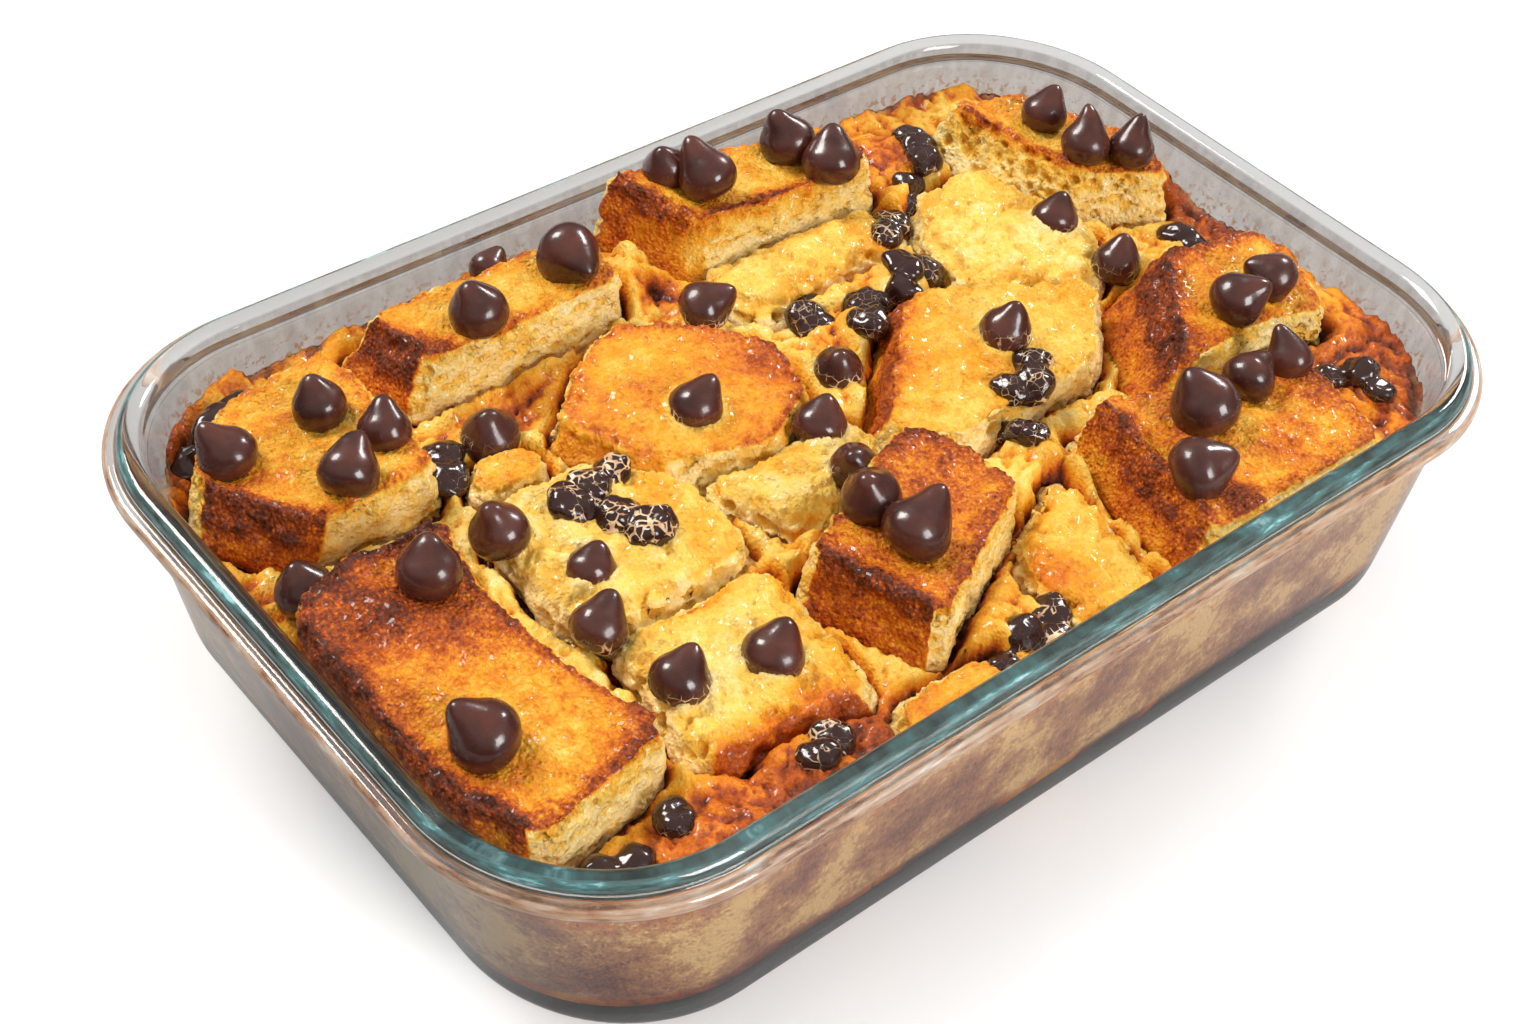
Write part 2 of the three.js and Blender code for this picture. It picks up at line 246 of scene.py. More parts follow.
def lofted(name, rings, tube=False):
    """A closed skin through rings of equal count, made by extruding one loop along them."""
    end = "NOTHING" if tube else "NGON"
    pick()
    bpy.ops.mesh.primitive_circle_add(vertices=len(rings[0]), radius=1, fill_type=end)
    piece = bpy.context.object
    piece.name = piece.data.name = name
    bpy.ops.object.mode_set(mode="EDIT")
    mesh = bmesh.from_edit_mesh(piece.data)
    loop = list(mesh.verts)
    for ring in rings:
        if ring is not rings[0]:
            bpy.ops.mesh.extrude_region_move()
            mesh = bmesh.from_edit_mesh(piece.data)
            fresh = {tuple(vert.co): vert for vert in mesh.verts if vert.select}
            loop = [fresh[place] for place in places]
        for vert, place in zip(loop, ring):
            vert.co = Vector(place) * MM
        places = [tuple(vert.co) for vert in loop]
    bpy.ops.mesh.select_all(action="SELECT")
    bpy.ops.mesh.remove_doubles(threshold=0.001 * MM)
    bpy.ops.mesh.normals_make_consistent(inside=False)
    bpy.ops.object.mode_set(mode="OBJECT")
    return piece


def beyond_wall(points, outset):
    """How far each point lies outside the wall's outline, and the way back in."""
    half_x, half_y, corner = wall_size(points[:, 2], outset)
    reach = np.abs(points[:, :2]) - np.stack([half_x - corner, half_y - corner], 1)
    outer = np.maximum(reach, 0)
    length = np.hypot(outer[:, 0], outer[:, 1])
    away = length + np.minimum(np.max(reach, 1), 0) - corner
    flat = np.where((reach[:, 0] > reach[:, 1])[:, None], [[1.0, 0.0]], [[0.0, 1.0]])
    way = np.where(length[:, None] > 1e-6, outer / np.maximum(length, 1e-6)[:, None], flat)
    return away, way * np.sign(points[:, :2])


def keep_inside(piece, outset):
    """Presses what would go through the glass flat against it."""
    points = points_of(piece)
    away, way = beyond_wall(points, outset)
    points[:, :2] -= way * np.maximum(away, 0)[:, None]
    move_points(piece, points)


# ---------------------------------------------------------------- nodes of the finishes

def tone(*shades):
    """A colour given as the 0 to 255 of a paint chart, all above 10."""
    return (*[((shade / 255 + 0.055) / 1.055) ** 2.4 for shade in shades], 1)


class Bench:
    """Adds nodes to one tree."""

    def __init__(self, tree):
        self.tree = tree

    def put(self, kind, inputs=(), **settings):
        node = self.tree.nodes.new("ShaderNode" + kind)
        for key, value in settings.items():
            setattr(node, key, value)
        for key, value in dict(inputs).items():
            self.feed(node.inputs[key], value)
        return node

    def feed(self, socket, value):
        if isinstance(value, bpy.types.NodeSocket):
            self.tree.links.new(value, socket)
        else:
            socket.default_value = value

    def math(self, operation, *values):
        return self.put("Math", dict(enumerate(values)), operation=operation).outputs[0]

    def plus_share(self, base, value, share):
        """The base plus a share of the value."""
        return self.math("MULTIPLY_ADD", value, share, base)

    def place(self, stretch=None):
        """Where the surface is on the object, with each axis scaled if asked."""
        place = self.put("TexCoord").outputs["Object"]
        if stretch:
            place = self.put("Mapping", {"Vector": place, "Scale": stretch}).outputs["Vector"]
        return place

    def noise(self, place, size, detail=2.0, rough=0.5):
        """A cloud of this size in millimetres."""
        inputs = {"Vector": place, "Scale": 1 / (size * MM), "Detail": detail, "Roughness": rough}
        return self.put("TexNoise", inputs).outputs["Fac"]

    def cells(self, place, size):
        inputs = {"Vector": place, "Scale": 1 / (size * MM)}
        return self.put("TexVoronoi", inputs).outputs["Distance"]

    def remap(self, value, low, high, to_low=0.0, to_high=1.0):
        inputs = {"Value": value, "From Min": low, "From Max": high, "To Min": to_low, "To Max": to_high}
        return self.put("MapRange", inputs, interpolation_type="SMOOTHSTEP").outputs["Result"]

    def blend(self, share, first, second, mode="MIX"):
        inputs = {0: share, 6: first, 7: second}
        return self.put("Mix", inputs, data_type="RGBA", blend_type=mode).outputs[2]

    def ramp(self, value, stops):
        node = self.put("ValToRGB", {"Fac": value})
        band = node.color_ramp.elements
        for i, (position, colour) in enumerate(stops):
            stop = band[i] if i < 2 else band.new(position)
            stop.position = position
            stop.color = colour
        return node.outputs["Color"]

    def attribute(self, name):
        return self.put("Attribute", attribute_name=name).outputs["Fac"]


BROWNING = [
    (0.00, tone(255, 228, 162)),
    (0.13, tone(250, 204, 90)),
    (0.30, tone(240, 166, 38)),
    (0.46, tone(222, 122, 22)),
    (0.58, tone(186, 84, 20)),
    (0.72, tone(138, 58, 20)),
    (0.86, tone(98, 42, 18)),
    (1.00, tone(66, 27, 13)),
]


def browning_and_shade_effect():
    """How far the oven has browned a surface, with painted shade in its pits and pores: its colour, fine
    relief, roughness and wet glints.
    """
    tree = bpy.data.node_groups.new("oven browning", "ShaderNodeTree")
    for label in ("Browning and shade", "Pores", "Speckle", "Mottle", "Wetness"):
        tree.interface.new_socket(label, in_out="INPUT", socket_type="NodeSocketFloat")
    tree.interface.new_socket("Color", in_out="OUTPUT", socket_type="NodeSocketColor")
    for label in ("Height", "Roughness", "Glints"):
        tree.interface.new_socket(label, in_out="OUTPUT", socket_type="NodeSocketFloat")
    bench = Bench(tree)
    given = tree.nodes.new("NodeGroupInput").outputs
    result = tree.nodes.new("NodeGroupOutput").inputs
    place = bench.place()
    fine = bench.noise(place, 0.62, 3, 0.7)
    grains = bench.remap(bench.cells(place, 0.75), 0.0, 0.7)
    middle = bench.noise(place, 3.0, 3, 0.6)
    wide = bench.noise(place, 11, 2)
    pits = bench.remap(bench.cells(place, 1.3), 0.1, 0.4, 1.0, 0.0)
    dry = bench.remap(given["Browning and shade"], 0.25, 0.65, 0.45, 1.0)
    speckle = bench.math("MULTIPLY", given["Speckle"], dry)
    mottle = bench.math("MULTIPLY", given["Mottle"], bench.remap(given["Browning and shade"], 0.0, 0.25, 0.4, 1.0))
    level = given["Browning and shade"]
    for cloud, share in (
        (fine, speckle), (middle, mottle), (wide, mottle), (grains, bench.math("MULTIPLY", speckle, 0.2)),
    ):
        level = bench.plus_share(level, bench.math("SUBTRACT", cloud, 0.5), share)
    # Painted shade: the pits and the pores are coloured darker than the bread round them.
    level = bench.plus_share(level, bench.math("MULTIPLY", pits, speckle), 0.12)
    level = bench.plus_share(level, given["Pores"], 0.15)
    bench.feed(result["Color"], bench.ramp(level, BROWNING))
    height = fine
    for relief_part, share in ((grains, -0.4), (middle, 0.7), (pits, -0.45)):
        height = bench.plus_share(height, relief_part, share)
    bench.feed(result["Height"], height)
    wet = bench.remap(bench.noise(place, 4, 3), 0.36, 0.62)
    glint = bench.remap(bench.noise(place, 1.1, 2), 0.5, 0.6)
    gloss = bench.math("MULTIPLY", bench.math("MAXIMUM", wet, glint), given["Wetness"])
    bench.feed(result["Roughness"], bench.plus_share(0.6, gloss, -0.42))
    bench.feed(result["Glints"], bench.math("MULTIPLY", glint, given["Wetness"]))
    return tree


def new_finish(name):
    finish = bpy.data.materials.new(name)
    finish.use_nodes = True
    finish.node_tree.nodes.clear()
    bench = Bench(finish.node_tree)
    return finish, bench, bench.put("OutputMaterial").inputs


def food_skin(bench, output, look, colour, relief_depth, glow):
    """The shader that bread and custard share, with a thin wet glaze."""
    height = look.outputs["Height"]
    bump = bench.put("Bump", {"Height": height, "Distance": relief_depth * MM, "Strength": 1.0})
    skin = bench.put("BsdfPrincipled", {
        "Base Color": colour,
        "Roughness": look.outputs["Roughness"],
        "Normal": bump.outputs["Normal"],
        "Specular IOR Level": 0.22,
        "Coat Weight": look.outputs["Glints"],
        "Coat Roughness": 0.12,
        "Subsurface Weight": glow,
        "Subsurface Scale": 1.2 * MM,
    })
    skin.inputs["Subsurface Radius"].default_value = (1.0, 0.5, 0.2)
    bench.feed(output["Surface"], skin.outputs[0])


def browned_and_shaded_look(bench, effect, speckle, mottle, wetness):
    look = bench.put("Group", node_tree=effect)
    for label, value in (
        ("Browning and shade", bench.attribute("browning_and_shade")), ("Pores", bench.attribute("pores")),
        ("Speckle", speckle), ("Mottle", mottle), ("Wetness", wetness),
    ):
        bench.feed(look.inputs[label], value)
    return look


def bread_finish(name, effect, speckle, mottle, wetness, relief_depth, glow):
    finish, bench, output = new_finish(name)
    look = browned_and_shaded_look(bench, effect, speckle, mottle, wetness)
    food_skin(bench, output, look, look.outputs["Color"], relief_depth, glow)
    return finish


def custard_finish(effect):
    """Yellow custard with orange skins on top, and a mottled baked crust against the glass."""
    finish, bench, output = new_finish("baked custard")
    look = browned_and_shaded_look(bench, effect, 0.3, 0.34, 0.7)
    place, layers = bench.place(), bench.place((1, 1, 2.2))
    blotch = bench.plus_share(bench.noise(place, 15, 2, 0.5), bench.noise(place, 1.5, 4, 0.75), 0.55)
    blotch = bench.plus_share(blotch, bench.noise(layers, 3.4, 4, 0.65), 0.24)
    crust = bench.ramp(blotch, [
        (0.68, tone(120, 74, 60)), (0.81, tone(156, 104, 78)),
        (0.93, tone(192, 142, 96)), (1.00, tone(222, 180, 122)),
    ])
    colour = bench.blend(bench.attribute("against_glass"), look.outputs["Color"], crust)
    food_skin(bench, output, look, colour, 0.34, 0.1)
    return finish


def chocolate_finish():
    """Dark chocolate, with a net of baked custard where the film attribute says."""
    finish, bench, output = new_finish("dark chocolate")
    place = bench.place()
    dark = bench.ramp(bench.noise(place, 6, 3), [(0.3, tone(56, 25, 18)), (0.7, tone(92, 47, 36))])
    stir = bench.put("TexNoise", {"Vector": place, "Scale": 420, "Detail": 2}).outputs["Color"]
    stir = bench.put("VectorMath", {0: stir, 1: (1.6 * MM,) * 3}, operation="MULTIPLY").outputs[0]
    stirred = bench.put("VectorMath", {0: place, 1: stir}, operation="ADD").outputs[0]
    webs = bench.put("TexVoronoi", {"Vector": stirred, "Scale": 620}, feature="DISTANCE_TO_EDGE")
    film = bench.attribute("film")
    width = bench.remap(bench.noise(place, 3.4, 3), 0.42, 0.64, -0.06, 0.22)
    cover = bench.math("SUBTRACT", bench.math("MULTIPLY", film, width), webs.outputs["Distance"])
    net = bench.math("MULTIPLY", bench.remap(cover, -0.03, 0.03), bench.remap(film, 0.02, 0.12))
    beige = bench.ramp(bench.noise(place, 1.6, 3), [(0.3, tone(190, 140, 98)), (0.7, tone(246, 222, 184))])
    melt = bench.attribute("melt")
    dark = bench.blend(melt, dark, tone(50, 24, 18))
    gloss = bench.remap(bench.noise(place, 2.5, 3), 0.3, 0.7, 0.18, 0.32)
    gloss = bench.plus_share(gloss, melt, -0.12)
    height = bench.math("ADD", net, bench.noise(place, 2.2, 3))
    bump = bench.put("Bump", {"Height": height, "Distance": 0.09 * MM, "Strength": 1.0})
    skin = bench.put("BsdfPrincipled", {
        "Base Color": bench.blend(net, dark, beige), "Roughness": gloss, "Normal": bump.outputs["Normal"],
        "Specular IOR Level": 0.45, "Coat Weight": 0.3, "Coat Roughness": 0.06,
    })
    bench.feed(output["Surface"], skin.outputs[0])
    return finish


def glass_finish():
    """Clear glass, with a thin grey film from the oven on its inner wall above the pudding."""
    finish, bench, output = new_finish("clear glass")
    place, runs = bench.place(), bench.place((1, 1, 0.35))
    streaks = bench.remap(bench.noise(runs, 2.5, 4, 0.6), 0.35, 0.7)
    filmed = bench.ramp(streaks, [(0.0, (0.31, 0.27, 0.25, 1)), (1.0, (0.44, 0.40, 0.38, 1))])
    low = bench.remap(bench.put("SeparateXYZ", {0: place}).outputs["Z"], 0.0405, 0.035)
    specks = bench.remap(bench.noise(place, 1.4, 4, 0.65), 0.53, 0.6)
    filmed = bench.blend(bench.math("MULTIPLY", specks, low), filmed, (0.24, 0.09, 0.03, 1))
    colour = bench.blend(bench.attribute("oven_film"), (0.86, 0.85, 0.84, 1), filmed)
    glass = bench.put("BsdfPrincipled", {
        "Base Color": colour, "Roughness": 0.015, "IOR": 1.5, "Transmission Weight": 1.0,
    })
    clear = bench.put("BsdfTransparent", {"Color": (0.9, 0.9, 0.89, 1)})
    shadow = bench.put("LightPath").outputs["Is Shadow Ray"]
    both = bench.put("MixShader", {0: shadow, 1: glass.outputs[0], 2: clear.outputs[0]})
    tint = bench.put("VolumeAbsorption", {"Color": (0.5, 0.64, 0.64, 1), "Density": 14.0})
    bench.feed(output["Surface"], both.outputs[0])
    bench.feed(output["Volume"], tint.outputs[0])
    return finish


def edge_finish(name, stops, density):
    """A painted stand-in for what thick glass shows end on. It is seen on the near side of the dish and not
    on the far one.
    """
    finish, bench, output = new_finish(name)
    colour = bench.ramp(bench.noise(bench.place((0.2, 0.2, 1.6)), 1.6, 4, 0.65), stops)
    behind = bench.put("NewGeometry").outputs["Backfacing"]
    near = bench.math("ABSOLUTE", bench.math("SUBTRACT", bench.attribute("outward"), behind))
    edge = bench.put("BsdfPrincipled", {
        "Base Color": colour, "Roughness": 0.25, "Alpha": bench.math("MULTIPLY", near, density),
    })
    bench.feed(output["Surface"], edge.outputs[0])
    return finish


# ---------------------------------------------------------------- camera, light and floor

CAMERA_AZIMUTH, CAMERA_ELEVATION, CAMERA_ROLL = -43.928, 43.709, 6.080
CAMERA_DISTANCE, CAMERA_ACROSS, CAMERA_UP = 397.39, -6.518, 8.810
CAMERA_LENS = 53.71


def camera():
    azimuth, elevation, roll = map(math.radians, (CAMERA_AZIMUTH, CAMERA_ELEVATION, CAMERA_ROLL))
    flat = math.cos(elevation)
    back = Vector((math.sin(azimuth) * flat, -math.cos(azimuth) * flat, math.sin(elevation)))
    level = (-back).cross(Vector((0, 0, 1))).normalized()
    upright = level.cross(-back)
    across = level * math.cos(roll) + upright * math.sin(roll)
    up = upright * math.cos(roll) - level * math.sin(roll)
    view = bpy.data.objects.new("camera", bpy.data.cameras.new("camera"))
    bpy.context.scene.collection.objects.link(view)
    view.data.lens = CAMERA_LENS
    view.data.clip_start, view.data.clip_end = 0.01, 20
    turn = Matrix((across, up, back)).transposed().to_4x4()
    place = back * CAMERA_DISTANCE + across * CAMERA_ACROSS + up * CAMERA_UP
    view.matrix_world = Matrix.Translation(place * MM) @ turn
    bpy.context.scene.camera = view


def lamp(name, toward, distance, size, power, colour=(1, 1, 1)):
    """A soft square lamp that hangs in this direction from the dish and faces it."""
    light = bpy.data.objects.new(name, bpy.data.lights.new(name, "AREA"))
    bpy.context.scene.collection.objects.link(light)
    light.data.size = size
    light.data.energy = power
    light.data.color = colour
    way = Vector(toward).normalized()
    turn = way.to_track_quat("Z", "Y").to_matrix().to_4x4()
    light.matrix_world = Matrix.Translation(way * distance) @ turn


def studio():
    lamp("key", (-0.25, 0.75, 0.85), 1.5, 0.55, 18.0, (1, 0.98, 0.95))
    lamp("side", (0.85, 0.15, 0.6), 1.4, 0.26, 6.0)
    lamp("front", (0.15, -0.9, 0.5), 1.5, 0.6, 15.0)
    world = bpy.data.worlds.new("room")
    bpy.context.scene.world = world
    world.use_nodes = True
    world.node_tree.nodes.clear()
    bench = Bench(world.node_tree)
    up = bench.put("SeparateXYZ", {0: bench.put("TexCoord").outputs["Generated"]}).outputs["Z"]
    glow = bench.ramp(up, [(0.0, (0.08, 0.08, 0.08, 1)), (0.3, (0.35, 0.35, 0.35, 1)), (0.6, (1, 1, 1, 1))])
    sky = bench.put("Background", {"Color": glow, "Strength": 0.55})
    bench.feed(bench.put("OutputWorld").inputs["Surface"], sky.outputs[0])

    pick()
    bpy.ops.mesh.primitive_plane_add(size=6)
    floor = bpy.context.object
    floor.name = "floor"
    paper, bench, output = new_finish("white paper")
    # Painted shade: the camera sees the paper white, lifted by a faint glow, while reflections, refractions
    # and bounced light see a darker grey copy of it.
    seen = bench.put("BsdfPrincipled", {
        "Base Color": (0.9, 0.9, 0.9, 1), "Roughness": 0.9,
        "Emission Color": (1, 1, 1, 1), "Emission Strength": 0.16,
    })
    grey = bench.put("BsdfPrincipled", {"Base Color": (0.58, 0.58, 0.58, 1), "Roughness": 0.9})
    direct = bench.put("LightPath").outputs["Is Camera Ray"]
    paper_mix = bench.put("MixShader", {0: direct, 1: grey.outputs[0], 2: seen.outputs[0]})
    bench.feed(output["Surface"], paper_mix.outputs[0])
    floor.data.materials.append(paper)
    bpy.context.scene.view_settings.view_transform = "Standard"
    cycles = bpy.context.scene.cycles
    cycles.use_denoising = True
    cycles.max_bounces, cycles.diffuse_bounces, cycles.glossy_bounces = 8, 3, 4


# ---------------------------------------------------------------- the dish

def glass_dish(finish):
    edge = (FLANGE_TOP - FLANGE_BOTTOM) / 2
    lip = (LIP_OUTER + LIP_INNER) / 2
    groove = 0.9
    rings = [
        *arc_rings(FOOT_RADIUS, -FOOT_RADIUS, FOOT_RADIUS, -90, 0, 10),
        *arc_rings(FLANGE_BOTTOM - FLANGE_FILLET, FLANGE_FILLET, FLANGE_FILLET, 180, 90, 5),
        *arc_rings(FLANGE_BOTTOM + edge, FLANGE_REACH - edge, edge, -90, 90, 12),
        *arc_rings(FLANGE_TOP + groove, LIP_OUTER + groove, groove, -90, -180, 5),
        *arc_rings(DISH_HEIGHT - lip, LIP_OUTER - lip, lip, 0, 180, 16),
        wall_ring(DISH_HEIGHT - LIP_DEPTH, -WALL),
        *arc_rings(FLOOR + FLOOR_FILLET, -WALL - FLOOR_FILLET, FLOOR_FILLET, 0, -90, 10),
    ]
    piece = lofted("glass_dish", rings)
    points = points_of(piece)
    away, _ = beyond_wall(points, 0)
    paint(piece, "oven_film", (away < -LIP_INNER + 0.6) * smoothstep(FILM_FOOT, FILM_FULL, points[:, 2]))
    pick(piece)
    bpy.ops.object.shade_smooth_by_angle(angle=math.radians(40))
    finish_piece(piece, finish, "dish", "dish")


def edge_tube(name, middle, sides, finish):
    """A closed tube in the rim's thick glass. Middle: its height, and its outset from the wall's outline.

    Sides: how far it reaches up, down and across from there.
    """
    up, down, across = sides
    rings = []
    for step in range(TUBE_STEPS):
        angle = 2 * math.pi * step / TUBE_STEPS
        rise = math.sin(angle) * (up if step < TUBE_STEPS / 2 else down)
        rings.append(wall_ring(middle[0] + rise, middle[1] + across * math.cos(angle)))
    piece = lofted(name, [*rings, rings[0]], tube=True)
    _, way = beyond_wall(points_of(piece), 0)
    normals = normals_of(piece)
    paint(piece, "outward", 0.5 + 5 * ((normals[:, :2] * way).sum(1) - 0.4 * normals[:, 2]))
    pick(piece)
    bpy.ops.object.shade_smooth()
    finish_piece(piece, finish, "dish")


# ---------------------------------------------------------------- the custard

# Mounds and hollows of the surface: X, Y, radius and height, all in millimetres.
CUSTARD_BUMPS = [
    (-60, -10, 3, -5), (-3, 40, 3, -3), (-6, 47, 7, 4.0), (-2, 40, 5, 2.0), (-26, 57, 6, 3.2),
    (-26, 31, 6, -2.0), (-40, 31, 7, -2.5),
    (-50, -56, 9, 2.6), (-36, -56, 6, 2.0), (-70, -54, 8, 0.8), (56, 48, 9, 1.2), (62, 44, 6, 1.0),
    (82, -44, 9, 1.8), (88, -36, 7, 2.4), (22, -31, 5, 2.6), (-10, -46, 9, 2.4), (-14, -56, 6, 2.0),
    (14, 13, 6, 2.0), (48, 36, 5, 2.0), (70, 2, 5, 1.5), (28, 18, 6, 1.5), (-58, 27, 5, -1.0),
]
# Baked skins on it: X, Y, radius along X, radius along Y, and how much browner they are.
CUSTARD_SKINS = [
    (-62, -56, 26, 9, 0.36), (-34, -56, 9, 7, 0.34), (86, -44, 15, 18, 0.34), (58, 48, 13, 8, 0.32),
    (22, -31, 6, 5, 0.14), (-10, -48, 12, 8, 0.12), (14, 13, 7, 4, 0.2), (48, 33, 4, 12, 0.2),
    (-26, 57, 8, 4, 0.2), (94, 0, 7, 16, 0.32), (-60, -10, 4, 9, 0.5), (-3, 40, 5, 4, 0.4),
    (-90, 52, 10, 8, 0.3), (-36, 31, 16, 5, 0.25), (30, 22, 10, 5, 0.1),
]


def custard_height(x, y):
    crown = FILL_CROWN * np.maximum(0, 1 - (x / BASE_HALF_LENGTH) ** 2)
    crown = crown * np.maximum(0, 1 - (y / BASE_HALF_WIDTH) ** 2)
    return FILL_LEVEL + crown + FILL_WAVE * np.sin(0.11 * x + 1) * np.cos(0.13 * y)


def in_outline(u, v, z, outset):
    """Where a point of the square from -1 to 1 lies in the wall's outline at height z."""
    half_x, half_y, corner = wall_size(z, outset)
    share = np.maximum(np.abs(u), np.abs(v))
    safe = np.maximum(share, 1e-9)
    across = np.abs(v) >= np.abs(u)
    along = np.where(across, u, v) / safe
    straight = np.where(across, half_x, half_y) - corner
    reach = np.abs(along) * (straight + corner * math.pi / 4)
    angle = np.maximum(reach - straight, 0) / corner
    first = np.sign(along) * (np.minimum(reach, straight) + corner * np.sin(angle))
    second = np.where(across, half_y, half_x) - corner + corner * np.cos(angle)
    second = second * np.sign(np.where(across, v, u))
    x = np.where(across, first, second) * share
    y = np.where(across, second, first) * share
    return x, y


def lump_heights(x, y):
    """Torn lumps of soaked bread under the skin: the highest of many tilted cushions shows."""
    chance = random.Random(11)
    half_x, half_y, _ = wall_size(FILL_LEVEL, -WALL)
    top = np.zeros(len(x))
    for _ in range(LUMPS):
        middle_x, middle_y = chance.uniform(-half_x, half_x), chance.uniform(-half_y, half_y)
        angle = chance.uniform(0, math.pi)
        across, along = x - middle_x, y - middle_y
        u = (across * math.cos(angle) + along * math.sin(angle)) / chance.uniform(4, 10)
        v = (along * math.cos(angle) - across * math.sin(angle)) / chance.uniform(3, 6)
        height = chance.uniform(1.2, 3.2) + chance.uniform(-0.8, 0.8) * u + chance.uniform(-0.8, 0.8) * v
        top = np.maximum(top, height * np.sqrt(np.maximum(0, 1 - np.abs(u) ** 2.6 - np.abs(v) ** 2.6)))
    return top


def blurred(field, reach):
    """The grid of values, each replaced by the mean of those around it."""
    for axis in (0, 1):
        field = sum(np.roll(field, step, axis) for step in range(-reach, reach + 1)) / (2 * reach + 1)
    return field


def slice_heights(slices, x, y):
    """For each place, how high the slice above it is, if any, and how far off the nearest side is."""
    sides = []
    over = np.full(len(x), -np.inf)
    for piece in slices:
        points, normals = points_of(piece), normals_of(piece)
        sides.append(points[(normals[:, 2] < 0.4) & (points[:, 2] > 32.5) & (points[:, 2] < 36.5), :2])
        tree = BVHTree.FromObject(piece, bpy.context.evaluated_depsgraph_get())
        low, high = points.min(0), points.max(0)
        near = (x > low[0]) & (x < high[0]) & (y > low[1]) & (y < high[1])
        for i in np.flatnonzero(near):
            hit = tree.ray_cast((x[i] * MM, y[i] * MM, 0.1), (0, 0, -1))[0]
            if hit:
                over[i] = max(over[i], hit.z / MM)
    sides = np.concatenate(sides)
    tree = KDTree(len(sides))
    for i, side in enumerate(sides):
        tree.insert((*side, 0), i)
    tree.balance()
    return over, np.array([tree.find((a, b, 0))[2] for a, b in zip(x, y)])


def drop_places():
    """The middle, radius and lowest point of each drop, in millimetres."""
    for number in range(1, len(DROPS) + 1):
        low, high = (np.array(corner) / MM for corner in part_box(f"drop_{number:02d}"))
        yield (low[0] + high[0]) / 2, (low[1] + high[1]) / 2, (high[0] - low[0]) / 2, low[2]


